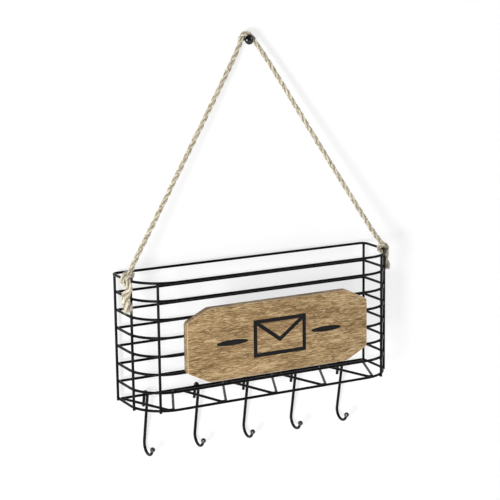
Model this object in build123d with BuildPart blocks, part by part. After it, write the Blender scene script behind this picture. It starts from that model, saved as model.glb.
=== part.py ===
# Letter rack for the wall: a welded wire basket with a wooden plaque and five swinging hooks,
# hung by a knotted rope from a nail.
# The origin is the nail's axis at the face of the wall. X runs along the wall, +Y goes into it, +Z is up.
import os
from math import asin, atan, ceil, cos, degrees, radians, sin, sqrt, tan

from build123d import *

os.makedirs("parts", exist_ok=True)

# Basket: sizes over the top rim's wire, and the spacing of the loops below it
wire_d = 3.0
basket_width = 330.0
basket_depth = 80.0
loop_count = 8
loop_pitch = 20.4
front_corner_r = 42.5
back_corner_r = 7.0
weld_gap = 0.02
upright_foot = 0.5
upright_foot_ease = 0.375
end_upright_angle = 16.0
front_upright_angle = 61.0
back_upright_angle = 45.0

# Place of the basket under the nail and in front of the wall
rim_drop = 248.5
basket_x = -4.0
wall_gap = 7.5

# Floor wire: a zigzag inside the bottom loop
floor_bends = 5
front_flat = 5.0
front_bend_r = 3.2
back_flat = 9.0
back_bend_r = 5.0
back_flat_shift = 4.5
floor_end_gap = 1.0

# Hooks
hook_count = 5
hook_pitch = 64.0
hook_wire_d = 3.4
hook_loop_r = 4.2
hook_tail = 16.0
hook_stem = 56.0
hook_bend_r = 11.0
hook_bend_sweep = 165.0
hook_clearance = 0.05
ball_d = 6.0
ball_clearance = 0.02
ball_bevel_angle = 22.5

# Plaque, with the straps and screws that hold it
plaque_width = 228.0
plaque_height = 83.0
plaque_drop = 1.8
plaque_thick = 9.0
plaque_clip_x = 27.0
plaque_clip_z = 13.5
plaque_edge_r = 1.2
plaque_gap = 0.05
strap_spacing = 140.0
strap_width = 12.0
strap_thick = 1.5
strap_margin = 6.0
strap_corner = 3.0
screw_d = 3.5
screw_head_d = 7.0
screw_head_h = 2.2
screw_bite = 6.5
screw_clearance = 0.05
screw_tip_room = 0.5

# Nail
nail_shank_d = 4.5
nail_shank_length = 26.0
nail_point = 4.0
nail_neck_d = 6.0
nail_neck_length = 22.0
nail_head_d = 11.0
nail_head_rim = 1.2
nail_dome_h = 2.8

# Rope, and how its knots turn round the rim, in shares of a turn
rope_d = 5.8
rope_gap = 0.4
rope_top_flat = 0.5
knot_turn_pitch = 6.6
knot_top_share = 0.3
knot_wrap_share = 0.94
knot_low_outside = 0.1
knot_low_inside = 0.4
knot_high_inside = 0.75
tail_left = 38.0
tail_right = 27.0
tail_lean = 4.0

# Facets: sides of a wire, a rope and a ball, the turn of one facet of a bend, and bands of the dome
wire_sides = 8
ball_sides = 12
bend_step = 15.0
dome_facets = 3

# Shared places worked out from the sizes above
wire_r = wire_d / 2
rim_z = -rim_drop
rim_half = (basket_width - wire_d) / 2
rim_back = -wall_gap - wire_r
rim_front = rim_back - (basket_depth - wire_d)
loop_inset = wire_d + weld_gap
loop_half = rim_half - loop_inset
loop_back = rim_back - loop_inset
loop_front = rim_front + loop_inset
bottom_z = rim_z - (loop_count - 1) * loop_pitch
hands = ((-1, "left"), (1, "right"))


def save(piece, name):
    """Labels a finished piece and writes it under its own name."""
    piece.part.label = name
    export_step(piece.part, f"parts/{name}.step")


def bent_bar(line, radius):
    """Section and path of a bar bent along a line, whose arcs it takes in short straight facets."""
    points = []
    passed = 0
    for edge in line.order_edges():
        turn = degrees(edge.length / edge.radius) if edge.geom_type == GeomType.CIRCLE else 0
        facets = max(1, ceil(turn / bend_step))
        for facet in range(facets):
            distance = passed + edge.length * facet / facets
            points.append(line.position_at(distance, position_mode=PositionMode.LENGTH))
        passed += edge.length
    points.append(line @ 1)
    with BuildLine() as path:
        Polyline(*points)
    with BuildSketch(Plane(origin=points[0], z_dir=points[1] - points[0])) as section:
        RegularPolygon(radius, wire_sides)
    return section.sketch, path.wires()[0]


def make_loop(name, inset, height):
    """A closed basket loop, whose centre line lies that far inside the rim's centre line."""
    half = rim_half - inset
    back = rim_back - inset
    front = rim_front + inset
    right_half = [
        (basket_x, back),
        (basket_x + half, back),
        (basket_x + half, front),
        (basket_x, front),
    ]
    with BuildPart() as loop:
        with BuildLine(Plane.XY.offset(height)) as outline:
            FilletPolyline(*right_half, radius=[back_corner_r - inset, front_corner_r - inset])
        sweep(*bent_bar(outline.wires()[0], wire_r), transition=Transition.RIGHT)
        mirror(about=Plane.YZ.offset(basket_x))
    save(loop, name)


make_loop("top_rim", 0, rim_z)
for level in range(2, loop_count):
    make_loop(f"loop_wire_{level}", loop_inset, rim_z - (level - 1) * loop_pitch)
make_loop("bottom_loop", loop_inset, bottom_z)


def front_corner_point(side, angle):
    """A point of the rim's centre line on a wide front corner, at an angle from the end wire."""
    turn = radians(angle)
    return Vector(
        basket_x + side * (rim_half - front_corner_r * (1 - cos(turn))),
        rim_front + front_corner_r * (1 - sin(turn)),
    )


def back_corner_point(side, angle):
    """A point of the rim's centre line on a tight back corner, at an angle from the end wire."""
    turn = radians(angle)
    return Vector(
        basket_x + side * (rim_half - back_corner_r * (1 - cos(turn))),
        rim_back - back_corner_r * (1 - sin(turn)),
    )


def make_upright(name, place):
    """A straight wire from the rim's underside to just below the bottom loop, with its foot eased."""
    foot_z = bottom_z - wire_r - upright_foot
    top_z = rim_z - wire_r - weld_gap
    with BuildPart() as upright:
        with BuildSketch(Plane.XY.offset(foot_z)):
            with Locations(place):
                RegularPolygon(wire_r, wire_sides)
        extrude(amount=top_z - foot_z)
        chamfer(upright.edges().group_by(Axis.Z)[0], upright_foot_ease)
    save(upright, name)


for side, hand in hands:
    make_upright(f"back_upright_{hand}", back_corner_point(side, back_upright_angle))
    make_upright(f"end_upright_{hand}", front_corner_point(side, end_upright_angle))
    make_upright(f"front_upright_{hand}", front_corner_point(side, front_upright_angle))

# Floor wire: its bends lie against the inner side of the bottom loop, at the front also where the
# loop turns its wide corners
loop_corner_r = front_corner_r - loop_inset
floor_corner_r = loop_corner_r - loop_inset
floor_back = loop_back - loop_inset
floor_half = loop_half - loop_inset - floor_end_gap
floor_pitch = 2 * loop_half / floor_bends


def floor_front_point(x):
    """A point at that x on the line that lies one wire inside the bottom loop's front."""
    round_the_corner = max(0, abs(x - basket_x) - (loop_half - loop_corner_r))
    return (x, loop_front + loop_corner_r - sqrt(floor_corner_r**2 - round_the_corner**2))


route = [(basket_x - floor_half, floor_back)]
bend_radii = []
for bend in range(floor_bends):
    front_x = basket_x + (bend - (floor_bends - 1) / 2) * floor_pitch
    route += [floor_front_point(front_x - front_flat / 2), floor_front_point(front_x + front_flat / 2)]
    bend_radii += [front_bend_r, front_bend_r]
    if bend < floor_bends - 1:
        back_x = front_x + floor_pitch / 2 + back_flat_shift
        route += [(back_x - back_flat / 2, floor_back), (back_x + back_flat / 2, floor_back)]
        bend_radii += [back_bend_r, back_bend_r]
route.append((basket_x + floor_half, floor_back))
with BuildPart() as floor_wire:
    with BuildLine(Plane.XY.offset(bottom_z)) as zigzag:
        FilletPolyline(*route, radius=bend_radii)
    sweep(*bent_bar(zigzag.wires()[0], wire_r), transition=Transition.RIGHT)
save(floor_wire, "floor_wire")

# Hooks: each is bent from one wire in an upright plane. In that plane the wire that carries the hook
# is at the origin, x goes to the wall and y goes up.
hook_r = hook_wire_d / 2
ball_r = ball_d / 2
ball_waist = ball_r * cos(radians(ball_bevel_angle))
ball_cap = ball_r * sin(radians(ball_bevel_angle))
loop_centre = wire_r + hook_clearance + hook_r - hook_loop_r
stem_end = loop_centre - hook_stem
bend_centre = (-hook_loop_r - hook_bend_r, stem_end)


def make_hook(plane):
    """A hook's bent wire and the ball on its end, drawn in the given plane."""
    with BuildPart() as hook:
        with BuildLine(plane) as bent:
            Line((hook_loop_r, loop_centre - hook_tail), (hook_loop_r, loop_centre))
            CenterArc((0, loop_centre), hook_loop_r, 0, 180)
            Line((-hook_loop_r, loop_centre), (-hook_loop_r, stem_end))
            bow = CenterArc(bend_centre, hook_bend_r, 0, -hook_bend_sweep)
            Line(bow @ 1, bow @ 1 + (bow % 1) * ball_r)
        path = bent.wires()[0]
        sweep(*bent_bar(path, hook_r), transition=Transition.RIGHT)
    seat = Plane(origin=path @ 1, z_dir=path % 1)
    with BuildPart() as ball:
        with BuildSketch(seat.offset(-ball_waist)):
            RegularPolygon(ball_waist, ball_sides)
        extrude(amount=2 * ball_waist)
        along = ball.faces().sort_by(Axis(seat.origin, seat.z_dir))
        chamfer(along[0].edges() + along[-1].edges(), ball_waist - ball_cap)
        with BuildSketch(seat.offset(ball_clearance)):
            RegularPolygon(hook_r + ball_clearance, wire_sides, major_radius=False)
        extrude(amount=-ball_d, mode=Mode.SUBTRACT)
    return hook, ball


# A hook hangs with its weight under the wire, so its stem leans back towards the wall
trial_hook, trial_ball = make_hook(Plane.YZ)
trial_weight = trial_hook.part.center(CenterOf.MASS) * trial_hook.part.volume
trial_weight += trial_ball.part.center(CenterOf.MASS) * trial_ball.part.volume
hook_lean = atan(trial_weight.Y / trial_weight.Z)
for number in range(1, hook_count + 1):
    hook_x = basket_x + (number - (hook_count + 1) / 2) * hook_pitch
    hang = Plane(
        origin=(hook_x, loop_back, bottom_z),
        x_dir=(0, cos(hook_lean), sin(hook_lean)),
        z_dir=(1, 0, 0),
    )
    hook, ball = make_hook(hang)
    save(hook, f"hook_{number}")
    save(ball, f"hook_ball_{number}")
print(f"hook lean {degrees(hook_lean):.1f} degrees")

# Plaque: a board with clipped corners and eased front edges, drilled from behind for the screws.
# Its planes look away from the wall, with x along the wall and y up.
plaque_z = (rim_z + bottom_z) / 2 - plaque_drop
plaque_back = loop_front - wire_r - plaque_gap
strap_front = loop_front + wire_r + plaque_gap
strap_back = strap_front + strap_thick
screw_seat = strap_back + plaque_gap
screw_spacing = 2 * loop_pitch
strap_length = screw_spacing + 2 * strap_margin


def facing(y):
    """A plane at that depth, over the middle of the plaque, that looks away from the wall."""
    return Plane(origin=(basket_x, y, plaque_z), x_dir=(1, 0, 0), z_dir=(0, -1, 0))


with BuildPart() as plaque:
    with BuildSketch(facing(plaque_back)):
        half_w = plaque_width / 2
        half_h = plaque_height / 2
        with BuildLine():
            Polyline(
                (half_w, 0),
                (half_w, half_h - plaque_clip_z),
                (half_w - plaque_clip_x, half_h),
                (0, half_h),
            )
            mirror(about=Plane.YZ)
            mirror(about=Plane.XZ)
        make_face()
    extrude(amount=plaque_thick)
    fillet(plaque.faces().sort_by(Axis.Y)[0].edges(), plaque_edge_r)
    with BuildSketch(facing(plaque_back)):
        with GridLocations(strap_spacing, screw_spacing, 2, 2):
            Circle(screw_d / 2 + screw_clearance)
    extrude(amount=screw_bite + screw_tip_room, mode=Mode.SUBTRACT)
save(plaque, "plaque_board")

for side, hand in hands:
    with BuildPart() as strap:
        with BuildSketch(facing(strap_front)):
            with Locations((side * strap_spacing / 2, 0)):
                Rectangle(strap_width, strap_length)
                with GridLocations(0, screw_spacing, 1, 2):
                    Circle(screw_d / 2 + screw_clearance, mode=Mode.SUBTRACT)
        extrude(amount=-strap_thick)
        chamfer(strap.edges().filter_by(Axis.Y).filter_by(GeomType.LINE), strap_corner)
    save(strap, f"plaque_strap_{hand}")

with BuildPart() as screws:
    with BuildSketch(facing(screw_seat)):
        with GridLocations(strap_spacing, screw_spacing, 2, 2):
            Circle(screw_d / 2)
    extrude(amount=screw_seat - plaque_back + screw_bite)
    with BuildSketch(facing(screw_seat)):
        with GridLocations(strap_spacing, screw_spacing, 2, 2):
            Circle(screw_head_d / 2)
    extrude(amount=-screw_head_h)
save(screws, "plaque_screws")

# Nail: a pointed shank in the wall, a neck for the rope and a domed head
head_seat = -nail_neck_length
head_edge = head_seat - nail_head_rim
head_top = head_edge - nail_dome_h
dome_r = ((nail_head_d / 2) ** 2 + nail_dome_h**2) / (2 * nail_dome_h)
dome_turn = asin(nail_head_d / 2 / dome_r)
dome = []
for facet in range(1, dome_facets + 1):
    turn = dome_turn * (1 - facet / dome_facets)
    dome.append((dome_r * sin(turn), head_top + dome_r * (1 - cos(turn))))
with BuildPart() as nail:
    with BuildSketch(Plane.XY):
        with BuildLine():
            Polyline(
                (0, nail_shank_length + nail_point),
                (nail_shank_d / 2, nail_shank_length),
                (nail_shank_d / 2, 0),
                (nail_neck_d / 2, 0),
                (nail_neck_d / 2, head_seat),
                (nail_head_d / 2, head_seat),
                (nail_head_d / 2, head_edge),
                *dome,
                close=True,
            )
        make_face()
    revolve(axis=Axis.Y)
save(nail, "wall_nail")

# Rope: one length from tail to tail. It turns once round the rim beside each end upright, runs
# straight up to the nail and bends over its neck.
rope_r = rope_d / 2
neck_turn_r = nail_neck_d / 2 + rope_gap + rope_r
rim_turn_r = wire_r + rope_gap + rope_r
rope_y = head_seat + rope_gap + rope_r
nail_top = Vector(0, rope_y, neck_turn_r)


def knot_route(side, tail):
    """Points of one end of the rope: from its tail, round the rim, up to the corner over the nail."""
    post = front_corner_point(side, end_upright_angle)
    turn = radians(end_upright_angle)
    outward = Vector(side * cos(turn), -sin(turn))
    forward = Vector(-side * sin(turn), -cos(turn))
    start = Vector(post.X, post.Y, rim_z) - forward * (rim_turn_r + knot_turn_pitch / 2)

    def beside(out, along, up):
        """A point by the rim: outward and up in turn radii, and forward along it in turns."""
        across = outward * (out * rim_turn_r) + Vector(0, 0, up * rim_turn_r)
        return start + across + forward * (along * knot_turn_pitch)

    top = beside(1, 0, knot_top_share)
    rise = (nail_top - top).normalized()
    turn_over = Vector(-side, 0, 0).get_angle(rise)
    corner = nail_top + Vector(side * (neck_turn_r * tan(radians(turn_over / 2)) + rope_top_flat), 0, 0)
    return [
        beside(1, 1, 1) + Vector(0, -tail_lean, -tail),
        beside(1, 1, 1),
        beside(-1, knot_high_inside, 1),
        beside(-1, knot_low_inside, -1),
        beside(1, knot_low_outside, -1),
        top,
        corner,
    ]


wrap_r = knot_wrap_share * rim_turn_r
end_radii = [wrap_r, wrap_r, wrap_r, wrap_r, rim_turn_r, neck_turn_r]
rope_points = knot_route(-1, tail_left) + knot_route(1, tail_right)[::-1]
rope_radii = end_radii + end_radii[::-1]
with BuildPart() as rope:
    with BuildLine() as run:
        FilletPolyline(*rope_points, radius=rope_radii)
    rope_path = run.wires()[0]
    sweep(*bent_bar(rope_path, rope_r), transition=Transition.RIGHT)
save(rope, "hanger_rope")
section = rope.part.volume / rope_path.length
print(f"rope length {rope_path.length:.1f}, section {section:.2f}, radii {[round(r, 1) for r in rope_radii]}")
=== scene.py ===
import random
from math import asin, ceil, cos, pi, radians, sin, tan

import bpy
from mathutils import Euler, Matrix, Vector


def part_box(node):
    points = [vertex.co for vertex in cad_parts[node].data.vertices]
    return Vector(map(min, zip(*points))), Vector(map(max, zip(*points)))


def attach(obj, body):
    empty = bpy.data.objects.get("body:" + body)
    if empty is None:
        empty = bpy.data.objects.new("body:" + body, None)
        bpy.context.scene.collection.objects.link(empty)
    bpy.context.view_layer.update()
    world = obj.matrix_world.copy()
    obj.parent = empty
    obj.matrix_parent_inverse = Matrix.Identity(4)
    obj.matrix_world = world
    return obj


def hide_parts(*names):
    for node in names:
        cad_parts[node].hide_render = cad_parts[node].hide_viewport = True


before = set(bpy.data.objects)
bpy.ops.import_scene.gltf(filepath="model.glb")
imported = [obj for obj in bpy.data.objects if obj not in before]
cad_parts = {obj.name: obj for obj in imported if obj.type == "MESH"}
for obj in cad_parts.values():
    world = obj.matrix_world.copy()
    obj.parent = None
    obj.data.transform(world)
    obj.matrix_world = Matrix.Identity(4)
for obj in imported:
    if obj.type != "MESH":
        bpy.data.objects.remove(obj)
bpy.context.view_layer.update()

# Basket loops: the top rim and seven more below it, each bent from one length of 3 mm steel wire and
# butt-welded in the middle of its back run. The whole basket is coated black after welding.
loop_count = 8
wire_sides = 16
bend_step = radians(7.5)
wire_smooth_under = radians(35)
rim_front_corner = 0.0425
rim_back_corner = 0.007
coat_dark = (0.003, 0.003, 0.0035, 1)
coat_pale = (0.009, 0.009, 0.01, 1)


def set_inputs(node, inputs):
    """Gives a node's inputs their values: a number or colour is set, another node's output is linked."""
    for name, value in inputs.items():
        if isinstance(value, bpy.types.NodeSocket):
            node.id_data.links.new(value, node.inputs[name])
        else:
            node.inputs[name].default_value = value


def add_node(owner, kind, inputs):
    """Adds a node to a material or to the world, with its inputs set or linked."""
    node = owner.node_tree.nodes.new(kind)
    set_inputs(node, inputs)
    return node


def new_material(name):
    """A material and its shader."""
    material = bpy.data.materials.new(name)
    material.use_nodes = True
    return material, material.node_tree.nodes["Principled BSDF"]


def own_place(material):
    """Where a point lies on its piece, for patterns that move with it."""
    return add_node(material, "ShaderNodeTexCoord", {}).outputs["Object"]


def add_noise(material, inputs):
    """A noise pattern, as a value about one half."""
    return add_node(material, "ShaderNodeTexNoise", inputs).outputs["Fac"]


def map_value(material, value, low, high, at_low, at_high):
    """Maps a value from the range low to high to the range at_low to at_high."""
    inputs = {"Value": value, "From Min": low, "From Max": high, "To Min": at_low, "To Max": at_high}
    return add_node(material, "ShaderNodeMapRange", inputs).outputs["Result"]


def colour_by(material, value, *stops):
    """Colours a value by its stops, lowest first: each is a value and the colour there."""
    ramp = add_node(material, "ShaderNodeValToRGB", {"Fac": value})
    elements = ramp.color_ramp.elements
    elements[0].position, elements[0].color = stops[0]
    elements[1].position, elements[1].color = stops[-1]
    for position, colour in stops[1:-1]:
        elements.new(position).color = colour
    return ramp.outputs["Color"]


def add_relief(material, height, strength, depth):
    """A bump of that depth, which raises the surface where the height is great."""
    inputs = {"Height": height, "Strength": strength, "Distance": depth}
    return add_node(material, "ShaderNodeBump", inputs).outputs["Normal"]


def black_coat(name, smoothest, roughest, grain, grain_depth, shine):
    """A baked black coat: nearly even in colour, with a fine skin and patches of more and less gloss."""
    material, shader = new_material(name)
    place = own_place(material)
    patches = add_noise(material, {"Vector": place, "Scale": 70, "Detail": 3})
    skin = add_noise(material, {"Vector": place, "Scale": grain, "Detail": 2})
    looks = {
        "Base Color": colour_by(material, patches, (0.35, coat_dark), (0.7, coat_pale)),
        "Roughness": map_value(material, patches, 0.3, 0.7, smoothest, roughest),
        "Specular IOR Level": shine,
        "Normal": add_relief(material, skin, 0.5, grain_depth),
    }
    set_inputs(shader, looks)
    return material


def finish_faces(smooth_under):
    """Turns all faces outwards, leaves edit mode, and shades smooth where they meet under that angle."""
    bpy.ops.mesh.select_all(action="SELECT")
    bpy.ops.mesh.normals_make_consistent(inside=False)
    bpy.ops.object.mode_set(mode="OBJECT")
    bpy.ops.object.shade_smooth_by_angle(angle=smooth_under)


def bend_wire(name, radius, corners, bend_radii):
    """Bends a round wire through its corners: straight runs, joined by arcs of the given radii."""
    bpy.ops.object.select_all(action="DESELECT")
    here = Vector(corners[0])
    heading = (Vector(corners[1]) - here).normalized()
    bpy.ops.mesh.primitive_circle_add(
        vertices=wire_sides,
        radius=radius,
        location=here,
        rotation=heading.to_track_quat("Z", "Y").to_euler(),
    )
    wire = bpy.context.object
    wire.name = name
    bpy.ops.object.transform_apply(location=True, rotation=True, scale=True)
    bpy.ops.object.mode_set(mode="EDIT")
    bpy.ops.mesh.select_mode(type="EDGE")
    bpy.ops.mesh.select_all(action="SELECT")
    merge_distance = radius / 100
    for corner, following, bend_radius in zip(corners[1:], corners[2:], bend_radii):
        onward = (Vector(following) - Vector(corner)).normalized()
        angle = heading.angle(onward)
        reach = bend_radius * tan(angle / 2)
        axis = heading.cross(onward).normalized()
        bend_start = Vector(corner) - heading * reach
        if (bend_start - here).length > merge_distance:
            bpy.ops.mesh.extrude_region_move(TRANSFORM_OT_translate={"value": bend_start - here})
        bpy.ops.mesh.spin(
            steps=ceil(angle / bend_step),
            angle=-angle,
            center=bend_start + axis.cross(heading) * bend_radius,
            axis=axis,
        )
        here = Vector(corner) + onward * reach
        heading = onward
    bpy.ops.mesh.extrude_region_move(TRANSFORM_OT_translate={"value": Vector(corners[-1]) - here})
    bpy.ops.mesh.select_all(action="SELECT")
    bpy.ops.mesh.remove_doubles(threshold=merge_distance)
    finish_faces(wire_smooth_under)
    return wire


def fit(piece, material, body, slot, *nodes):
    """Gives a finished piece its material and its body, and lets it stand for its nodes."""
    piece.data.materials.clear()
    piece.data.materials.append(material)
    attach(piece, body)
    if nodes:
        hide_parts(*nodes)


wire_coat = black_coat(
    "wire_coat", smoothest=0.24, roughest=0.36, grain=1500, grain_depth=0.00008, shine=0.07
)
rim_low, rim_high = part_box("top_rim")
wire_radius = (rim_high.z - rim_low.z) / 2
basket_x = (rim_low.x + rim_high.x) / 2
loop_nodes = ["top_rim", *[f"loop_wire_{level}" for level in range(2, loop_count)], "bottom_loop"]
for node in loop_nodes:
    low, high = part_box(node)
    height = (low.z + high.z) / 2
    left = low.x + wire_radius
    right = high.x - wire_radius
    back = high.y - wire_radius
    front = low.y + wire_radius
    inset = rim_high.x - high.x
    corners = [
        (basket_x, back, height),
        (right, back, height),
        (right, front, height),
        (left, front, height),
        (left, back, height),
        (basket_x, back, height),
    ]
    back_bend = rim_back_corner - inset
    front_bend = rim_front_corner - inset
    loop = bend_wire(f"{node}_wire", wire_radius, corners, [back_bend, front_bend, front_bend, back_bend])
    fit(loop, wire_coat, "basket", "basket_wire", node)

# Uprights: six straight wires outside the loops, one at each back corner and two round each front
# corner. Their tops butt under the rim, and their cut feet reach just below the bottom loop.
foot_ease = 0.0004


def select_only(*pieces):
    """Selects these pieces and no others, with the first of them active."""
    bpy.ops.object.select_all(action="DESELECT")
    for piece in pieces:
        piece.select_set(True)
    bpy.context.view_layer.objects.active = pieces[0]


def ease_ends(wire, width):
    """Closes both ends of a wire and takes the sharp edge off them."""
    select_only(wire)
    bpy.ops.object.mode_set(mode="EDIT")
    bpy.ops.mesh.select_mode(type="EDGE")
    bpy.ops.mesh.select_all(action="DESELECT")
    bpy.ops.mesh.select_non_manifold()
    bpy.ops.mesh.fill_holes(sides=0)
    bpy.ops.mesh.select_mode(type="FACE")
    bpy.ops.mesh.select_all(action="DESELECT")
    bpy.ops.mesh.select_face_by_sides(number=4, type="GREATER", extend=False)
    bpy.ops.mesh.bevel(offset=width, segments=3, affect="EDGES")
    finish_faces(wire_smooth_under)


upright_nodes = []
for row in ("back", "end", "front"):
    upright_nodes += [f"{row}_upright_left", f"{row}_upright_right"]
upright_places = []
for node in upright_nodes:
    low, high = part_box(node)
    middle = (low + high) / 2
    upright_places.append(middle)
    run = [(middle.x, middle.y, low.z), (middle.x, middle.y, high.z)]
    upright = bend_wire(f"{node}_wire", wire_radius, run, [])
    ease_ends(upright, foot_ease)
    fit(upright, wire_coat, "basket", "basket_wire", node)

# Floor wire: one wire bent into a zigzag that lies inside the bottom loop. Its bends are welded to
# the loop's front and back runs, so that letters don't fall through.
floor_bends = 5
front_flat = 0.005
front_bend_radius = 0.0032
back_flat = 0.009
back_bend_radius = 0.005
back_flat_shift = 0.0045
floor_end_gap = 0.001
bottom_low, bottom_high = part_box("bottom_loop")
bottom_height = (bottom_low.z + bottom_high.z) / 2
loop_half = (bottom_high.x - bottom_low.x) / 2 - wire_radius
loop_inset = rim_high.x - bottom_high.x
loop_corner = rim_front_corner - loop_inset
floor_corner = loop_corner - loop_inset
loop_front = bottom_low.y + wire_radius
floor_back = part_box("floor_wire")[1].y - wire_radius
floor_pitch = 2 * loop_half / floor_bends


def floor_front_point(x):
    """The point at that x which lies one wire inside the bottom loop's front and its wide corners."""
    round_the_corner = max(0, abs(x - basket_x) - (loop_half - loop_corner))
    y = loop_front + loop_corner - (floor_corner**2 - round_the_corner**2) ** 0.5
    return (x, y, bottom_height)


floor_half = loop_half - loop_inset - floor_end_gap
zigzag = [(basket_x - floor_half, floor_back, bottom_height)]
zigzag_radii = []
floor_contacts = []
for bend in range(floor_bends):
    front_x = basket_x + (bend - (floor_bends - 1) / 2) * floor_pitch
    zigzag.append(floor_front_point(front_x - front_flat / 2))
    zigzag.append(floor_front_point(front_x + front_flat / 2))
    zigzag_radii += [front_bend_radius, front_bend_radius]
    floor_contacts.append((Vector(floor_front_point(front_x)), Vector((0, -1, 0))))
    if bend < floor_bends - 1:
        back_x = front_x + floor_pitch / 2 + back_flat_shift
        zigzag.append((back_x - back_flat / 2, floor_back, bottom_height))
        zigzag.append((back_x + back_flat / 2, floor_back, bottom_height))
        zigzag_radii += [back_bend_radius, back_bend_radius]
        floor_contacts.append((Vector((back_x, floor_back, bottom_height)), Vector((0, 1, 0))))
zigzag.append((basket_x + floor_half, floor_back, bottom_height))
floor_wire = bend_wire("floor_zigzag", wire_radius, zigzag, zigzag_radii)
ease_ends(floor_wire, foot_ease)
fit(floor_wire, wire_coat, "basket", "basket_wire", "floor_wire")

# Weld beads: the metal that the spot welder squeezes out where two wires cross, rounded by the coat.
# They sit in the corners of each crossing, under the rim and at the bends of the floor wire.
bead_unevenness = 0.06
crossing_bead = (0.00185, 0.00185, 0.00085)
rim_bead = (0.0019, 0.0019, 0.0008)
floor_bead = (0.0034, 0.00165, 0.0008)
bead_draw = random.Random(5)
bpy.ops.object.select_all(action="DESELECT")
bpy.ops.mesh.primitive_uv_sphere_add(segments=14, ring_count=8, radius=1, location=(0, 0, 0))
pattern_bead = bpy.context.object
bpy.ops.object.mode_set(mode="EDIT")
bpy.ops.mesh.select_all(action="SELECT")
bpy.ops.transform.vertex_random(offset=bead_unevenness, seed=3)
bpy.ops.object.mode_set(mode="OBJECT")
bpy.ops.object.shade_smooth()
beads = []


def copy_piece(pattern, name, placing):
    """A copy of a pattern piece with its own mesh, put in its place."""
    piece = bpy.data.objects.new(name, pattern.data.copy())
    piece.data.transform(placing)
    bpy.context.collection.objects.link(piece)
    return piece


def add_bead(place, flat, length, height, depth):
    """One bead at a place: flat is the way from one wire to the other, and depth its size that way."""
    flat = flat.normalized()
    level = Vector((0, 0, 1)) if abs(flat.z) < 0.5 else Vector((1, 0, 0))
    across = level.cross(flat).normalized()
    frame_turn = Matrix((across, level, flat)).transposed().to_4x4()
    size = Matrix.Diagonal((length, height, depth, 1))
    spin_round = Matrix.Rotation(bead_draw.choice((0, pi)), 4, "Z")
    placing = Matrix.Translation(place) @ frame_turn @ size @ spin_round
    beads.append(copy_piece(pattern_bead, "weld_bead", placing))


def join_pieces(pieces, name):
    """Joins pieces to one of that name."""
    select_only(*pieces)
    bpy.ops.object.join()
    pieces[0].name = name
    return pieces[0]


rim_height = (rim_low.z + rim_high.z) / 2
for place, node in zip(upright_places, upright_nodes):
    outer = 1 if place.x > basket_x else -1
    corner_radius = rim_back_corner
    corner_y = rim_high.y - wire_radius - rim_back_corner
    if not node.startswith("back"):
        corner_radius = rim_front_corner
        corner_y = rim_low.y + wire_radius + rim_front_corner
    corner_x = basket_x + outer * ((rim_high.x - rim_low.x) / 2 - wire_radius - corner_radius)
    inward = (Vector((corner_x, corner_y, 0)) - Vector((place.x, place.y, 0))).normalized()
    for node_below in loop_nodes[1:]:
        low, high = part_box(node_below)
        contact = Vector((place.x, place.y, (low.z + high.z) / 2)) + inward * wire_radius
        add_bead(contact, inward, *crossing_bead)
    under_rim = Vector((place.x, place.y, rim_height - wire_radius))
    add_bead(under_rim, Vector((0, 0, 1)), *rim_bead)
for contact, way in floor_contacts:
    add_bead(contact + way * wire_radius, way, *floor_bead)
bpy.data.objects.remove(pattern_bead)
weld_beads = join_pieces(beads, "weld_beads")
fit(weld_beads, wire_coat, "basket", "basket_wire")

# Hooks: five wire hooks that hang over the back run of the bottom loop and swing on it, each bent
# from one wire with a ball on its end, and lacquered black by itself.
hook_count = 5
hook_loop_radius = 0.0042
hook_tail = 0.016
hook_stem = 0.056
hook_bend_radius = 0.011
hook_bend_sweep = radians(165)
hook_wire_radius = 0.0017
hook_clearance = 0.00005
ball_radius = 0.003
hook_lean = radians(11.7)
hook_end_ease = 0.0004
ball_seat = 0.0019
ball_neck = 0.0005
hook_lacquer = black_coat(
    "hook_lacquer", smoothest=0.1, roughest=0.18, grain=900, grain_depth=0.00004, shine=0.09
)
ball_lacquer = black_coat(
    "ball_lacquer", smoothest=0.06, roughest=0.1, grain=900, grain_depth=0.00002, shine=1
)
loop_back = bottom_high.y - wire_radius
loop_centre = wire_radius + hook_clearance + hook_wire_radius - hook_loop_radius
stem_end = loop_centre - hook_stem
bow_centre_y = -hook_loop_radius - hook_bend_radius
half_sweep = hook_bend_sweep / 2
tip_angle = -hook_bend_sweep
tip_heading = Vector((0, sin(tip_angle), -cos(tip_angle)))


def from_bow(distance, angle):
    """A point of the hook's own plane, that far from the middle of its bow and at that angle."""
    return Vector((0, bow_centre_y + distance * cos(angle), stem_end + distance * sin(angle)))


bow_corner = hook_bend_radius / cos(half_sweep / 2)
bow_end = from_bow(hook_bend_radius, tip_angle)
hook_corners = [
    Vector((0, hook_loop_radius, loop_centre - hook_tail)),
    Vector((0, hook_loop_radius, loop_centre + hook_loop_radius)),
    Vector((0, -hook_loop_radius, loop_centre + hook_loop_radius)),
    from_bow(bow_corner, -half_sweep / 2),
    from_bow(bow_corner, -half_sweep * 1.5),
    bow_end + tip_heading * ball_radius,
]
hook_radii = [hook_loop_radius, hook_loop_radius, hook_bend_radius, hook_bend_radius]
hang = Matrix.Rotation(hook_lean, 4, "X")
pattern_hook = bend_wire("pattern_hook", hook_wire_radius, hook_corners, hook_radii)
ease_ends(pattern_hook, hook_end_ease)
bpy.ops.object.select_all(action="DESELECT")
bpy.ops.mesh.primitive_uv_sphere_add(
    segments=32,
    ring_count=20,
    radius=ball_radius,
    location=bow_end + tip_heading * ball_radius,
    rotation=tip_heading.to_track_quat("Z", "X").to_euler(),
)
pattern_ball = bpy.context.object
bpy.ops.object.transform_apply(location=True, rotation=True, scale=True)
bpy.ops.object.mode_set(mode="EDIT")
bpy.ops.mesh.select_mode(type="VERT")
bpy.ops.mesh.select_all(action="DESELECT")
bpy.ops.object.mode_set(mode="OBJECT")
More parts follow.
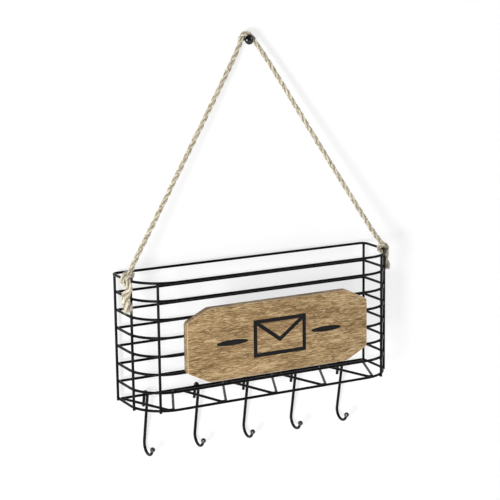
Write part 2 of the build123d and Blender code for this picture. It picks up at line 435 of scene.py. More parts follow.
for vertex in pattern_ball.data.vertices:
    vertex.select = (vertex.co - bow_end).length < ball_seat
bpy.ops.object.mode_set(mode="EDIT")
bpy.ops.transform.translate(value=-tip_heading * ball_neck)
bpy.ops.object.mode_set(mode="OBJECT")
bpy.ops.object.shade_smooth()
for number in range(1, hook_count + 1):
    low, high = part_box(f"hook_{number}")
    hung = Matrix.Translation(((low.x + high.x) / 2, loop_back, bottom_height)) @ hang
    hook = copy_piece(pattern_hook, f"hook_wire_{number}", hung)
    fit(hook, hook_lacquer, f"hook_{number}", "hook_wire", f"hook_{number}")
    ball = copy_piece(pattern_ball, f"hook_knob_{number}", hung)
    fit(ball, ball_lacquer, f"hook_{number}", "hook_wire", f"hook_ball_{number}")
bpy.data.objects.remove(pattern_hook)
bpy.data.objects.remove(pattern_ball)

# Plaque: a board of oiled hardwood with clipped corners and sanded edges, cut with its grain
# lengthwise. It lies against the front wires and is held from behind.
clip_x = 0.027
clip_z = 0.0135
corner_round = 0.003
front_round = 0.0012
back_round = 0.0004
nearly_square = 0.9
block_smooth_under = radians(30)
band_weight = 0.34
ripple_weight = 0.58
line_weight = 0.08
# How much paler the front arris is painted: partly wear, partly a painted highlight.
arris_wear_and_highlight = 0.45
# Painted shade towards the back of the board's sides: how strong it is, and where it starts and where it
# is full.
back_shade_strength = 0.7
shade_start = 0.0035
shade_full = 0.001
wood_dark = (0.16, 0.094, 0.038, 1)
wood_mid = (0.335, 0.218, 0.101, 1)
wood_pale = (0.55, 0.405, 0.222, 1)
pore_brown = (0.09, 0.052, 0.024, 1)
worn_and_highlight_pale = (0.72, 0.58, 0.38, 1)
painted_shade_grey = (0.13, 0.105, 0.075, 1)


def select_faces(piece, chosen):
    """Selects the faces for which the test holds, and leaves the piece in edit mode."""
    bpy.ops.object.mode_set(mode="OBJECT")
    select_only(piece)
    bpy.ops.object.mode_set(mode="EDIT")
    bpy.ops.mesh.select_mode(type="FACE")
    bpy.ops.mesh.select_all(action="DESELECT")
    bpy.ops.object.mode_set(mode="OBJECT")
    for face in piece.data.polygons:
        face.select = chosen(face)
    bpy.ops.object.mode_set(mode="EDIT")


def select_edges(piece, chosen):
    """Selects the edges for whose two ends the test holds, and leaves the piece in edit mode."""
    select_faces(piece, lambda face: False)
    bpy.ops.mesh.select_mode(type="EDGE")
    bpy.ops.object.mode_set(mode="OBJECT")
    for edge in piece.data.edges:
        edge.select = chosen(*[piece.data.vertices[index].co for index in edge.vertices])
    bpy.ops.object.mode_set(mode="EDIT")


def add_block(name, low, high):
    """A plain block between two corners, as the blank for a piece."""
    bpy.ops.object.select_all(action="DESELECT")
    bpy.ops.mesh.primitive_cube_add(size=1, location=(low + high) / 2, scale=high - low)
    block = bpy.context.object
    block.name = name
    bpy.ops.object.transform_apply(location=True, rotation=True, scale=True)
    return block


board_low, board_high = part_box("plaque_board")
board_middle = (board_low + board_high) / 2
board = add_block("plaque_wood", board_low, board_high)
bpy.ops.object.mode_set(mode="EDIT")
for across in (-1, 1):
    for up in (-1, 1):
        bpy.ops.mesh.select_all(action="SELECT")
        side_x = board_high.x if across > 0 else board_low.x
        side_z = board_high.z if up > 0 else board_low.z
        bpy.ops.mesh.bisect(
            plane_co=(side_x, board_middle.y, side_z - up * clip_z),
            plane_no=(across * clip_z, 0, up * clip_x),
            use_fill=True,
            clear_outer=True,
        )
select_edges(board, lambda start, end: abs(start.y - end.y) > front_round)
bpy.ops.mesh.bevel(offset=corner_round, segments=5, affect="EDGES")
select_faces(board, lambda face: face.normal.y < -nearly_square)
bpy.ops.mesh.bevel(offset=front_round, segments=4, affect="EDGES")
select_faces(board, lambda face: face.normal.y > nearly_square)
bpy.ops.mesh.bevel(offset=back_round, segments=2, affect="EDGES")
bpy.ops.object.mode_set(mode="OBJECT")
bpy.ops.object.shade_smooth_by_angle(angle=block_smooth_under)


def combine(material, operation, first, second):
    """One step of arithmetic on two outputs or numbers."""
    step = add_node(material, "ShaderNodeMath", {0: first, 1: second})
    step.operation = operation
    return step.outputs["Value"]


def axis_value(material, vector, axis):
    """One of the three values of a place or direction."""
    return add_node(material, "ShaderNodeSeparateXYZ", {"Vector": vector}).outputs[axis]


def stretch(material, place, count):
    """A place for drawn-out patterns: the count is how many grains there are per metre in X, Y and Z."""
    return add_node(material, "ShaderNodeMapping", {"Vector": place, "Scale": count}).outputs["Vector"]


def grain_noise(material, place, count, detail, distortion):
    """Noise drawn out along the grain."""
    drawn_out = stretch(material, place, count)
    inputs = {"Vector": drawn_out, "Scale": 1, "Detail": detail, "Distortion": distortion}
    return add_noise(material, inputs)


def lay_colour(material, share, below, colour):
    """Lays a colour over the one below it, as strong as the share says."""
    layer = add_node(material, "ShaderNodeMix", {"Factor": share})
    layer.data_type = "RGBA"
    set_inputs(layer, {6: below, 7: colour})
    return layer.outputs[2]


def oiled_wood(name):
    """Hardwood with grain and pores, paler on its front arris as wear and painted highlight, and with
    painted shade towards its back.
    """
    material, shader = new_material(name)
    place = own_place(material)
    bands = grain_noise(material, place, (7, 20, 46), 4, 0.8)
    ripples = grain_noise(material, place, (85, 420, 460), 3, 1.2)
    pits = grain_noise(material, place, (130, 900, 1000), 1, 0.4)
    wavy = {
        "Vector": stretch(material, place, (58, 120, 150)),
        "Scale": 1,
        "Distortion": 11,
        "Detail": 2,
        "Detail Scale": 1.3,
    }
    lines = add_node(material, "ShaderNodeTexWave", wavy)
    lines.bands_direction = "Z"
    tone = combine(material, "MULTIPLY", bands, band_weight)
    for pattern, weight in ((lines.outputs["Fac"], line_weight), (ripples, ripple_weight)):
        tone = combine(material, "ADD", tone, combine(material, "MULTIPLY", pattern, weight))
    grained = colour_by(material, tone, (0.38, wood_dark), (0.5, wood_mid), (0.61, wood_pale))
    pores = map_value(material, pits, 0.62, 0.72, 0, 0.75)
    pored = lay_colour(material, pores, grained, pore_brown)
    direction = add_node(material, "ShaderNodeTexCoord", {}).outputs["Normal"]
    square_on = combine(material, "ABSOLUTE", axis_value(material, direction, "Y"), 0)
    # The front arris is painted paler: partly wear, partly a painted highlight.
    off_front = map_value(material, square_on, 0.97, 0.8, 0, arris_wear_and_highlight)
    off_side = map_value(material, square_on, 0.2, 0.45, 0, 1)
    worn_and_highlit = lay_colour(material, combine(material, "MULTIPLY", off_front, off_side), pored, worn_and_highlight_pale)
    # Painted shade: the sides turn grey-brown over the last few millimetres towards the back of the
    # board.
    depth = axis_value(material, place, "Y")
    shade_ends = (board_high.y - shade_start, board_high.y - shade_full)
    painted_shade_near_back = map_value(material, depth, *shade_ends, 0, back_shade_strength)
    looks = {
        "Base Color": lay_colour(material, painted_shade_near_back, worn_and_highlit, painted_shade_grey),
        "Roughness": map_value(material, tone, 0, 1, 0.62, 0.44),
        "Specular IOR Level": 0.25,
        "Normal": add_relief(material, combine(material, "SUBTRACT", tone, pores), 0.6, 0.0003),
    }
    set_inputs(shader, looks)
    return material


plaque_wood = oiled_wood("plaque_wood")
fit(board, plaque_wood, "basket", "plaque_wood", "plaque_board")

# Plaque mark: a plain envelope between two tapered rules, stencilled on the board in black paint.
# The paint is a thin film, a little dry in patches.
envelope_width = 0.062
envelope_height = 0.038
flap_drop = 0.023
mark_line = 0.0044
paint_film = 0.00012
rule_length = 0.039
rule_height = 0.0062
rule_gap = 0.009
rule_corners = 40
flap_tolerance = 0.001


def raise_paint():
    """Gives the active sheet the thickness of a coat of paint, with its faces outwards."""
    bpy.ops.object.mode_set(mode="EDIT")
    bpy.ops.mesh.select_all(action="SELECT")
    bpy.ops.mesh.extrude_region_move(TRANSFORM_OT_translate={"value": (0, -paint_film, 0)})
    bpy.ops.mesh.select_all(action="SELECT")
    bpy.ops.mesh.normals_make_consistent(inside=False)
    bpy.ops.object.mode_set(mode="OBJECT")


mark_middle = Vector((board_middle.x, board_low.y, board_middle.z))
flap_tip = mark_middle + Vector((0, 0, envelope_height / 2 - flap_drop))
bpy.ops.object.select_all(action="DESELECT")
bpy.ops.mesh.primitive_plane_add(size=1, location=mark_middle, rotation=(radians(90), 0, 0))
envelope = bpy.context.object
envelope.name = "plaque_mark"
envelope.scale = (envelope_width, envelope_height, 1)
bpy.ops.object.transform_apply(location=True, rotation=True, scale=True)
select_faces(envelope, lambda face: True)
bpy.ops.mesh.bisect(plane_co=flap_tip, plane_no=(0, 0, 1))
for slope in (-1, 1):
    select_faces(envelope, lambda face: face.center.z > flap_tip.z)
    bpy.ops.mesh.bisect(plane_co=flap_tip, plane_no=(slope * flap_drop, 0, envelope_width / 2))


def on_the_flap(face):
    """Whether a face of the envelope is its flap: the middle one of those at the top edge."""
    return abs(face.center.x - mark_middle.x) < flap_tolerance and face.center.z > flap_tip.z


select_faces(envelope, lambda face: not on_the_flap(face))
bpy.ops.mesh.dissolve_faces()
bpy.ops.mesh.select_all(action="SELECT")
bpy.ops.mesh.inset(thickness=mark_line / 2, use_individual=True)
bpy.ops.mesh.delete(type="FACE")
bpy.ops.mesh.select_mode(type="VERT")
bpy.ops.object.mode_set(mode="OBJECT")
for vertex in envelope.data.vertices:
    reach = vertex.co - mark_middle
    on_the_side = abs(reach.x) > envelope_width / 2 - mark_line / 4
    vertex.select = on_the_side or abs(reach.z) > envelope_height / 2 - mark_line / 4
bpy.ops.object.mode_set(mode="EDIT")
bpy.ops.transform.resize(
    value=(1 + mark_line / envelope_width, 1, 1 + mark_line / envelope_height),
    center_override=mark_middle,
)
raise_paint()
rule_reach = envelope_width / 2 + rule_gap + rule_length / 2
for hand in (-1, 1):
    rule_middle = mark_middle + Vector((hand * rule_reach, 0, 0))
    bpy.ops.object.select_all(action="DESELECT")
    bpy.ops.mesh.primitive_circle_add(
        vertices=rule_corners,
        radius=0.5,
        fill_type="NGON",
        location=rule_middle,
        rotation=(radians(90), 0, 0),
    )
    rule = bpy.context.object
    rule.scale = (rule_length, rule_height, 1)
    bpy.ops.object.transform_apply(location=True, rotation=True, scale=True)
    raise_paint()
    join_pieces([envelope, rule], "plaque_mark")
mark_paint = black_coat(
    "mark_paint", smoothest=0.5, roughest=0.7, grain=2200, grain_depth=0.00006, shine=0.2
)
fit(envelope, mark_paint, "basket", "plaque_wood")

# Straps: two flat steel strips inside the basket, which clamp its front wires to the plaque.
# They are sheared from zinc-plated strip with rounded corners, and hidden from the front.
strap_corner = 0.003
strap_edge = 0.00025
zinc_dark = (0.28, 0.285, 0.29, 1)
zinc_pale = (0.5, 0.505, 0.51, 1)


def zinc(name):
    """Zinc plate: dull bright metal with faint rolling lines and soft cloudy patches."""
    material, shader = new_material(name)
    place = own_place(material)
    rolled = grain_noise(material, place, (2400, 900, 60), 3, 0)
    clouds = add_noise(material, {"Vector": place, "Scale": 160, "Detail": 4})
    looks = {
        "Base Color": colour_by(material, clouds, (0.35, zinc_dark), (0.65, zinc_pale)),
        "Roughness": map_value(material, rolled, 0, 1, 0.28, 0.5),
        "Metallic": 1,
        "Normal": add_relief(material, rolled, 0.25, 0.0001),
    }
    set_inputs(shader, looks)
    return material


strap_zinc = zinc("strap_zinc")
for hand in ("left", "right"):
    node = f"plaque_strap_{hand}"
    strap = add_block(f"{node}_strip", *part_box(node))
    select_edges(strap, lambda start, end: abs(start.y - end.y) > strap_edge)
    bpy.ops.mesh.bevel(offset=strap_corner, segments=6, affect="EDGES")
    select_faces(strap, lambda face: abs(face.normal.y) > nearly_square)
    bpy.ops.mesh.bevel(offset=strap_edge, segments=2, affect="EDGES")
    bpy.ops.object.mode_set(mode="OBJECT")
    bpy.ops.object.shade_smooth_by_angle(angle=block_smooth_under)
    fit(strap, strap_zinc, "basket", "strap_steel", node)

# Screws: four pan-head wood screws of zinc-plated steel with a cross recess. They are driven from
# inside the basket, through the straps and into the plaque.
screw_sides = 28
screw_shank_radius = 0.00175
screw_tip_radius = 0.00021
screw_point = 0.0028
screw_head_radius = 0.0035
screw_head_height = 0.0022
screw_head_shares = [(0, 0.97), (0.12, 1), (0.45, 1), (0.72, 0.9), (0.92, 0.66), (1, 0.36)]
recess_length = 0.0036
recess_width = 0.0009
recess_depth = 0.0012
screw_low, screw_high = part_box("plaque_screws")


def turn_piece(name, stations, sides):
    """A turned piece on the Y axis, drawn on from ring to ring of the given depths and radii."""
    bpy.ops.object.select_all(action="DESELECT")
    first_y, first_radius = stations[0]
    bpy.ops.mesh.primitive_circle_add(
        vertices=sides,
        radius=first_radius,
        fill_type="NGON",
        location=(0, first_y, 0),
        rotation=(radians(90), 0, 0),
    )
    piece = bpy.context.object
    piece.name = name
    bpy.ops.object.transform_apply(location=True, rotation=True, scale=True)
    bpy.ops.object.mode_set(mode="EDIT")
    bpy.ops.mesh.select_mode(type="EDGE")
    bpy.ops.mesh.select_all(action="SELECT")
    for (before_y, before_radius), (y, radius) in zip(stations, stations[1:]):
        bpy.ops.mesh.extrude_edges_move(TRANSFORM_OT_translate={"value": (0, y - before_y, 0)})
        share = radius / before_radius
        bpy.ops.transform.resize(value=(share, 1, share), center_override=(0, y, 0))
    bpy.ops.mesh.edge_face_add()
    finish_faces(block_smooth_under)
    return piece


screw_seat = screw_high.y - screw_head_height
screw_stations = [
    (screw_low.y, screw_tip_radius),
    (screw_low.y + screw_point, screw_shank_radius),
    (screw_seat, screw_shank_radius),
]
for height_share, radius_share in screw_head_shares:
    ring_y = screw_seat + screw_head_height * height_share
    screw_stations.append((ring_y, screw_head_radius * radius_share))
pattern_screw = turn_piece("pattern_screw", screw_stations, screw_sides)
crown = Vector((0, screw_high.y, 0))
for arm_x, arm_z in ((recess_length, recess_width), (recess_width, recess_length)):
    reach = Vector((arm_x, 2 * recess_depth, arm_z)) / 2
    cutter = add_block("recess_cutter", crown - reach, crown + reach)
    cut = pattern_screw.modifiers.new("recess", "BOOLEAN")
    cut.operation = "DIFFERENCE"
    cut.object = cutter
    bpy.context.view_layer.objects.active = pattern_screw
    bpy.ops.object.modifier_apply(modifier=cut.name)
    bpy.data.objects.remove(cutter)
screws = []
for screw_x in (screw_low.x + screw_head_radius, screw_high.x - screw_head_radius):
    for screw_z in (screw_low.z + screw_head_radius, screw_high.z - screw_head_radius):
        placing = Matrix.Translation((screw_x, 0, screw_z))
        screws.append(copy_piece(pattern_screw, "plaque_screw", placing))
bpy.data.objects.remove(pattern_screw)
screw_set = join_pieces(screws, "plaque_screw_set")
fit(screw_set, strap_zinc, "basket", "strap_steel", "plaque_screws")

# Nail: a pointed steel shank in the wall, a short neck for the rope and a domed head. It is turned in
# one piece and enamelled black and glossy.
nail_sides = 40
nail_shank_radius = 0.00225
nail_tip_radius = 0.0001125
nail_point = 0.004
nail_neck_radius = 0.00225
nail_head_radius = 0.0055
nail_seat_radius = 0.005225
nail_head_rim = 0.0012
nail_rim_round = 0.0003
nail_dome = 0.0028
dome_rings = 9
crown_rings = 0.5
nail_low, nail_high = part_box("wall_nail")
head_seat = nail_low.y + nail_dome + nail_head_rim
head_edge = nail_low.y + nail_dome
dome_radius = (nail_head_radius**2 + nail_dome**2) / (2 * nail_dome)
dome_angle = asin(nail_head_radius / dome_radius)
nail_stations = [
    (nail_high.y, nail_tip_radius),
    (nail_high.y - nail_point, nail_shank_radius),
    (0, nail_shank_radius),
    (0, nail_neck_radius),
    (head_seat, nail_neck_radius),
    (head_seat, nail_seat_radius),
    (head_seat - nail_rim_round, nail_head_radius),
    (head_edge, nail_head_radius),
]
for ring in range(1, dome_rings + 1):
    angle = dome_angle * (1 - ring / (dome_rings + crown_rings))
    nail_stations.append((nail_low.y + dome_radius * (1 - cos(angle)), dome_radius * sin(angle)))
nail = turn_piece("wall_nail_turned", nail_stations, nail_sides)
nail_gloss = black_coat(
    "nail_gloss", smoothest=0.07, roughest=0.13, grain=500, grain_depth=0.00003, shine=0.5
)
fit(nail, nail_gloss, "basket", "nail_black", "wall_nail")

# Rope: one length of three-strand jute, knotted to the rim beside each end upright and hung over the
# nail. Its route is given, from the left tail round the rim, over the nail to the right tail.
rope_radius = 0.0029
strand_count = 3
strand_radius = 0.00136
strand_sides = 12
strand_lumps = 0.06
lump_waves = (410, 970, 1730)
strand_smooth_under = radians(60)
lay_length = 0.031
ring_step = 0.0011
left_flare = 0.0021
left_flare_length = 0.036
right_flare = 0.0014
right_flare_length = 0.009
flare_ease = 0.7
loose_swell = 0.4
nail_flare = 0.0007
nail_flare_length = 0.016
heading_reach = 2
map_scale = 100
map_shift = 37
jute_pale = (0.85, 0.79, 0.63, 1)
jute_mid = (0.57, 0.51, 0.38, 1)
jute_dark = (0.2, 0.165, 0.11, 1)
jute_valley = (0.2, 0.16, 0.1, 1)
rope_route = [
    (-0.1704, -0.0589, -0.28),
    (-0.1715, -0.0569, -0.272),
    (-0.1725, -0.0558, -0.2635),
    (-0.1711, -0.0596, -0.258),
    (-0.1702, -0.0635, -0.253),
    (-0.1712, -0.0616, -0.2485),
    (-0.1697, -0.0553, -0.2439),
    (-0.1639, -0.0534, -0.2429),
    (-0.1603, -0.0505, -0.2429),
    (-0.1608, -0.0453, -0.2427),
    (-0.1642, -0.0429, -0.2425),
    (-0.1688, -0.046, -0.2427),
    (-0.1719, -0.0483, -0.2451),
    (-0.1724, -0.0493, -0.2497),
    (-0.1698, -0.0492, -0.2537),
    (-0.1646, -0.0484, -0.2534),
    (-0.1624, -0.0481, -0.2479),
    (-0.1639, -0.048, -0.24),
    (-0.1454, -0.0441, -0.213),
    (-0.0826, -0.0305, -0.12),
    (-0.0258, -0.0181, -0.035),
    (-0.0097, -0.0139, -0.01),
    (-0.0052, -0.0124, -0.0012),
    (-0.004, -0.0126, 0.005),
    (0.0006, -0.0144, 0.006),
    (0.0052, -0.016, 0.0044),
    (0.0088, -0.0174, -0.0018),
    (0.014, -0.0188, -0.009),
    (0.0302, -0.0232, -0.035),
    (0.0813, -0.0335, -0.12),
    (0.1384, -0.0447, -0.213),
    (0.1559, -0.048, -0.24),
    (0.1634, -0.0491, -0.2455),
    (0.1636, -0.049, -0.2511),
    (0.1594, -0.0482, -0.2534),
    (0.1553, -0.0474, -0.25),
    (0.1559, -0.0484, -0.2445),
    (0.1594, -0.0519, -0.2431),
    (0.1635, -0.0524, -0.2459),
    (0.1635, -0.0514, -0.2535),
    (0.1629, -0.0509, -0.2605),
    (0.1644, -0.0515, -0.2725),
]
line = bpy.data.curves.new("rope_line", "CURVE")
line.dimensions = "3D"
line.resolution_u = 40
spline = line.splines.new("NURBS")
spline.points.add(len(rope_route) - 1)
for control, place in zip(spline.points, rope_route):
    control.co = (*place, 1)
spline.order_u = 3
spline.use_endpoint_u = True
line_object = bpy.data.objects.new("rope_line", line)
line_mesh = bpy.data.meshes.new_from_object(line_object)
centre_line = [vertex.co.copy() for vertex in line_mesh.vertices]
bpy.data.objects.remove(line_object)
bpy.data.meshes.remove(line_mesh)


def walk(points, step):
    """Places a step apart along a line of points, each with its heading and an untwisted side."""
    distances = [0]
    for here, there in zip(points, points[1:]):
        distances.append(distances[-1] + (there - here).length)
    count = max(2, round(distances[-1] / step))
    places = []
    at = 0
    for number in range(count + 1):
        distance = distances[-1] * number / count
        while at < len(points) - 2 and distances[at + 1] < distance:
            at += 1
        gap = distances[at + 1] - distances[at]
        share = (distance - distances[at]) / gap if gap else 0
        places.append(points[at].lerp(points[at + 1], min(1, share)))
    headings = []
    for number in range(count + 1):
        before = places[max(0, number - heading_reach)]
        after = places[min(count, number + heading_reach)]
        headings.append((after - before).normalized())
    side = headings[0].orthogonal().normalized()
    sides = []
    for heading in headings:
        side = (side - heading * side.dot(heading)).normalized()
        sides.append(side)
    return places, headings, sides, distances[-1]


def tube(rings, sides):
    """The points and faces of a closed tube through rings of points."""
    vertices = [point for ring in rings for point in ring]
    faces = []
    for ring in range(len(rings) - 1):
        for side in range(sides):
            following = (side + 1) % sides
            base = ring * sides
            faces.append((base + side, base + following, base + sides + following, base + sides + side))
    faces.append(tuple(range(sides))[::-1])
    faces.append(tuple(range((len(rings) - 1) * sides, len(rings) * sides)))
    return vertices, faces


places, headings, side_ways, line_length = walk(centre_line, ring_step)
highest = max(range(len(places)), key=lambda number: places[number].z)
nail_distance = line_length * highest / (len(places) - 1)


def looseness(distance):
    """How far the strands have come apart: not at all along the rope, and fully at its two cut ends."""
    to_left = max(0, 1 - distance / left_flare_length) ** flare_ease
    to_right = max(0, 1 - (line_length - distance) / right_flare_length) ** flare_ease
    return to_left, to_right


rope_draw = random.Random(11)
rope_vertices = []
rope_faces = []
for strand in range(strand_count):
    rings = []
    swell = [rope_draw.uniform(0, 2 * pi) for wave in lump_waves]
    for number, (place, heading, side) in enumerate(zip(places, headings, side_ways)):
        distance = line_length * number / (len(places) - 1)
        turn = 2 * pi * (distance / lay_length + strand / strand_count)
        outward = side * cos(turn) + heading.cross(side) * sin(turn)
        to_left, to_right = looseness(distance)
        on_nail = max(0, 1 - abs(distance - nail_distance) / nail_flare_length)
        flare = left_flare * to_left + right_flare * to_right + nail_flare * on_nail
        spread = rope_radius - strand_radius + flare
        lump = sum(sin(distance * wave + start) for wave, start in zip(lump_waves, swell))
        thickness = strand_radius * (1 + strand_lumps * lump + loose_swell * (to_left + to_right))
        sideways = heading.cross(outward)
        along = (heading + sideways * (2 * pi * spread / lay_length)).normalized()
        across = outward.cross(along)
        ring = []
        for corner in range(strand_sides):
            angle = 2 * pi * corner / strand_sides
            spoke = outward * cos(angle) + across * sin(angle)
            ring.append(place + outward * spread + spoke * thickness)
        rings.append(ring)
    vertices, faces = tube(rings, strand_sides)
    base = len(rope_vertices)
    rope_vertices += vertices
    rope_faces += [tuple(base + index for index in face) for face in faces]
rope_mesh = bpy.data.meshes.new("hanger_strands")
rope_mesh.from_pydata(rope_vertices, [], rope_faces)
rope_map = rope_mesh.uv_layers.new(name="rope_map")
strand_points = len(places) * strand_sides
for polygon in rope_mesh.polygons:
    corners_here = [index % strand_sides for index in polygon.vertices]
    closes_the_ring = len(corners_here) == 4 and 0 in corners_here and strand_sides - 1 in corners_here
    for loop_index, index, corner in zip(polygon.loop_indices, polygon.vertices, corners_here):
        strand = index // strand_points
        ring = index % strand_points // strand_sides
        around = 1 if closes_the_ring and corner == 0 else corner / strand_sides
        along_strand = ring * ring_step * map_scale + strand * map_shift
        rope_map.data[loop_index].uv = (along_strand, around)
rope = bpy.data.objects.new("hanger_strands", rope_mesh)
bpy.context.collection.objects.link(rope)
select_only(rope)
bpy.ops.object.mode_set(mode="EDIT")
finish_faces(strand_smooth_under)


def jute(name):
    """Jute: dry pale and darker fibres that run along the strand, with shade between the strands."""
    material, shader = new_material(name)
    strand_map = add_node(material, "ShaderNodeUVMap", {})
    strand_map.uv_map = "rope_map"
    on_strand = strand_map.outputs["UV"]
    slant = {"Vector": on_strand, "Scale": (1.6, 6, 1), "Rotation": (0, 0, radians(24))}
    slanted = add_node(material, "ShaderNodeMapping", slant).outputs["Vector"]
    fibres = add_noise(material, {"Vector": slanted, "Scale": 2.6, "Detail": 6, "Roughness": 0.7})
    place = own_place(material)
    specks = add_noise(material, {"Vector": place, "Scale": 430, "Detail": 2, "Roughness": 0.6})
    tone = add_node(material, "ShaderNodeMix", {"Factor": 0.6, 2: fibres, 3: specks}).outputs[0]
    fibre_tint = colour_by(material, tone, (0.38, jute_dark), (0.47, jute_mid), (0.6, jute_pale))
    round_angle = combine(material, "MULTIPLY", axis_value(material, on_strand, "Y"), 2 * pi)
    outwards = combine(material, "COSINE", round_angle, 0)
    valley = map_value(material, outwards, 0.55, -0.1, 0, 0.5)
    looks = {
        "Base Color": lay_colour(material, valley, fibre_tint, jute_valley),
        "Roughness": 0.85,
        "Specular IOR Level": 0.2,
        "Sheen Weight": 0.25,
        "Sheen Roughness": 0.5,
        "Normal": add_relief(material, fibres, 0.9, 0.0005),
    }
    set_inputs(shader, looks)
    return material


fit(rope, jute("jute_strand"), "basket", "rope_jute", "hanger_rope")

# Loose fibres: the same jute, which fans out of both cut tails of the rope and stands off its strands
# here and there as fuzz.
fibre_slimness = 0.018
fibre_bow = 0.16
fibre_root_pull = 0.4
fibre_tip_pull = 0.7
fibre_tip_share = 0.3
fray_root_least = 0.2
fray_lean_in = -0.3
fray_stub = 0.35
fray_shortest = 0.6
fuzz_count = 130
fuzz_least = 0.003
fuzz_most = 0.0065
fuzz_lean_least = 0.4
fuzz_lean_most = 1.1
fuzz_margin = 2
fibre_draw = random.Random(23)
bpy.ops.object.select_all(action="DESELECT")
bpy.ops.curve.primitive_bezier_curve_add(radius=1, location=(0, 0, 0))
pattern_fibre = bpy.context.object
pattern_fibre.data.resolution_u = 5
pattern_fibre.data.bevel_depth = fibre_slimness
pattern_fibre.data.bevel_resolution = 0
pattern_fibre.data.use_fill_caps = True
fibre_root, fibre_tip = pattern_fibre.data.splines[0].bezier_points
for end in (fibre_root, fibre_tip):
    end.handle_left_type = "FREE"
    end.handle_right_type = "FREE"
fibre_root.co = (0, 0, 0)
fibre_root.handle_right = (0, 0, fibre_root_pull)
fibre_tip.co = (fibre_bow, 0, 1)
fibre_tip.handle_left = (fibre_bow / 4, 0, fibre_tip_pull)
fibre_tip.radius = fibre_tip_share
bpy.ops.object.convert(target="MESH")
bpy.ops.object.shade_smooth()


def add_fibre(place, way, length):
    """One fibre of a tuft or of the fuzz, which stands at a place and leans that way."""
    turn = way.to_track_quat("Z", "X").to_matrix().to_4x4()
    spin_round = Matrix.Rotation(fibre_draw.uniform(0, 2 * pi), 4, "Z")
    placing = Matrix.Translation(place) @ turn @ spin_round @ Matrix.Scale(length, 4)
    return copy_piece(pattern_fibre, "loose_fibre", placing)


def outward_from(number):
    """A chance way square to the rope, at one of its places."""
    angle = fibre_draw.uniform(0, 2 * pi)
    return side_ways[number] * cos(angle) + headings[number].cross(side_ways[number]) * sin(angle)


def fray_tail(last, inward, count, depth, reach, half_width, fan):
    """Fibres out of one cut tail: their roots lie up to a depth inside it, and they fan out."""
    for fibre in range(count):
        number = last + inward * round(fibre_draw.uniform(0, depth) / ring_step)
        way = headings[number] * -inward
        outward = outward_from(number)
        share = fibre_draw.uniform(fray_root_least, 1)
        root = places[number] + outward * share * half_width
        lean = (way + outward * fibre_draw.uniform(fray_lean_in, 1) * fan).normalized()
        left_over = abs(number - last) * ring_step
        longest = min(reach, left_over + reach * fray_stub)
        frayed.append(add_fibre(root, lean, longest * fibre_draw.uniform(fray_shortest, 1)))


def loose_jute(name):
    """Single jute fibres: some nearly white, some brown, each of about one tone."""
    material, shader = new_material(name)
    tones = add_noise(material, {"Vector": own_place(material), "Scale": 700, "Detail": 1})
    looks = {
        "Base Color": colour_by(material, tones, (0.35, jute_dark), (0.6, jute_pale)),
        "Roughness": 0.9,
        "Specular IOR Level": 0.15,
    }
    set_inputs(shader, looks)
    return material


jute_fibre = loose_jute("jute_fibre")
frayed = []
fray_tail(0, 1, count=240, depth=0.024, reach=0.0125, half_width=0.0046, fan=0.22)
fray_tail(len(places) - 1, -1, count=110, depth=0.007, reach=0.006, half_width=0.0036, fan=0.25)
rope_fray = join_pieces(frayed, "rope_fray")
fuzz = []
for fibre in range(fuzz_count):
    number = fibre_draw.randrange(fuzz_margin, len(places) - fuzz_margin)
    outward = outward_from(number)
    along = headings[number] * fibre_draw.choice((-1, 1))
    lean = (along + outward * fibre_draw.uniform(fuzz_lean_least, fuzz_lean_most)).normalized()
    root = places[number] + outward * (rope_radius - strand_radius / 2)
    fuzz.append(add_fibre(root, lean, fibre_draw.uniform(fuzz_least, fuzz_most)))
rope_fuzz = join_pieces(fuzz, "rope_fuzz")
bpy.data.objects.remove(pattern_fibre)
for loose_piece in (rope_fray, rope_fuzz):
    fit(loose_piece, jute_fibre, "basket", "rope_jute")

# Stage: a white wall behind the rack and a pale floor far below it, both of matt paint.
# They are seen from their front only, so that the rack shows from behind too.
stage_size = 8
floor_drop = 0.9
wall_white = (0.9, 0.9, 0.9, 1)
wall_glow = 0.62
wall_strength = 1.13


def stage_paint(name):
    """White matt paint that shows from its front only, and looks white with soft shadows to the eye."""
    material, shader = new_material(name)
    set_inputs(shader, {"Base Color": wall_white, "Roughness": 0.9, "Specular IOR Level": 0})
    rays = add_node(material, "ShaderNodeLightPath", {}).outputs
    seen = combine(material, "MAXIMUM", rays["Is Camera Ray"], rays["Is Glossy Ray"])
    share = combine(material, "MULTIPLY", seen, wall_glow)
    glow = add_node(material, "ShaderNodeEmission", {"Strength": wall_strength})
    glowing = {0: share, 1: shader.outputs[0], 2: glow.outputs[0]}
    front = add_node(material, "ShaderNodeMixShader", glowing)
    behind = add_node(material, "ShaderNodeNewGeometry", {}).outputs["Backfacing"]
    clear = add_node(material, "ShaderNodeBsdfTransparent", {})
    one_sided = {0: behind, 1: front.outputs[0], 2: clear.outputs[0]}
    sides = add_node(material, "ShaderNodeMixShader", one_sided)
    set_inputs(material.node_tree.nodes["Material Output"], {"Surface": sides.outputs[0]})
    return material


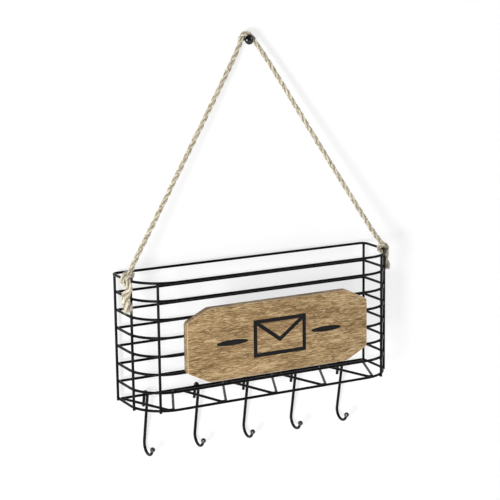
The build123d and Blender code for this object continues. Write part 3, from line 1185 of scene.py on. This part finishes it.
stage_white = stage_paint("stage_white")
for name, height, tilt in (("stage_wall", 0, radians(90)), ("stage_floor", -floor_drop, 0)):
    bpy.ops.object.select_all(action="DESELECT")
    bpy.ops.mesh.primitive_plane_add(size=stage_size, location=(0, 0, height), rotation=(tilt, 0, 0))
    stage_side = bpy.context.object
    stage_side.name = name
    stage_side.data.materials.append(stage_white)

# Light: a soft lamp from the left, a weaker one from the right and an even white room.
room_strength = 0.12
white = (1, 1, 1, 1)
world = bpy.data.worlds.new("white_room")
bpy.context.scene.world = world
world.use_nodes = True
room = world.node_tree.nodes["Background"]
set_inputs(room, {"Color": white, "Strength": room_strength})
backdrop = add_node(world, "ShaderNodeBackground", {"Color": white})
seen = add_node(world, "ShaderNodeLightPath", {}).outputs["Is Camera Ray"]
room_mix = add_node(world, "ShaderNodeMixShader", {0: seen, 1: room.outputs[0], 2: backdrop.outputs[0]})
set_inputs(world.node_tree.nodes["World Output"], {"Surface": room_mix.outputs[0]})


def lamp(name, place, aim, size, power):
    """A square soft lamp that looks at a point."""
    data = bpy.data.lights.new(name, "AREA")
    data.size = size
    data.energy = power
    light = bpy.data.objects.new(name, data)
    light.location = place
    light.rotation_euler = (Vector(aim) - Vector(place)).to_track_quat("-Z", "Y").to_euler()
    bpy.context.collection.objects.link(light)


lamp("left_lamp", place=(-1.65, -1.65, -0.3), aim=(0, 0, -0.25), size=0.45, power=44)
lamp("right_lamp", place=(1.7, -1.3, 0.6), aim=(0, 0, -0.2), size=1.0, power=13)
bpy.context.scene.view_settings.view_transform = "Standard"

# Camera: stands to the left of the rack and looks slightly down on it.
camera_tilt = radians(90 - 11.594)
camera_turn = radians(-28.15)
camera_roll = radians(-0.729)
camera_data = bpy.data.cameras.new("camera")
camera_data.sensor_width = 36
camera_data.lens = 113.64
camera = bpy.data.objects.new("camera", camera_data)
camera.location = (-0.83208, -1.57314, 0.12313)
aim = Euler((camera_tilt, 0, camera_turn)).to_matrix() @ Matrix.Rotation(camera_roll, 3, "Z")
camera.rotation_euler = aim.to_euler()
bpy.context.collection.objects.link(camera)
bpy.context.scene.camera = camera
